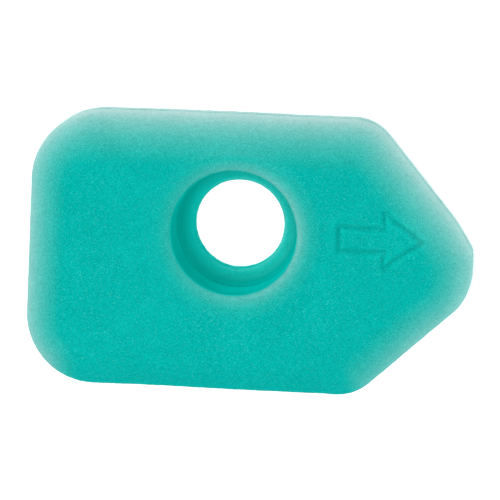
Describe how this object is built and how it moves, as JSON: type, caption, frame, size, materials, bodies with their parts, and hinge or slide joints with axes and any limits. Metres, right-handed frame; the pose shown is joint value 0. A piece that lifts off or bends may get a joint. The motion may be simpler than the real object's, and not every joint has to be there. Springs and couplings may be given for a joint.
{
  "type": "sponge filter",
  "caption": "Flat foam filter element with rounded front edges, a pointed nose, a wide round bore that narrows to a neck hole, and an impressed arrow.",
  "frame": {"origin": "on the axis of the neck hole, in the plane of the back face that the element lies on", "axes": "+Z from the back face to the rounded front face, +X from the hole to the pointed nose, +Y towards the long side that the hole is nearer to"},
  "size_m": [0.1251, 0.0775, 0.022],
  "materials": {
    "front_foam": "matt open-cell foam",
    "glue_film": "matt",
    "back_foam": "matt open-cell foam"
  },
  "bodies": {
    "root": {"main_foam": "front_foam", "bond_film": "glue_film", "base_foam": "back_foam"}
  },
  "joints": []
}
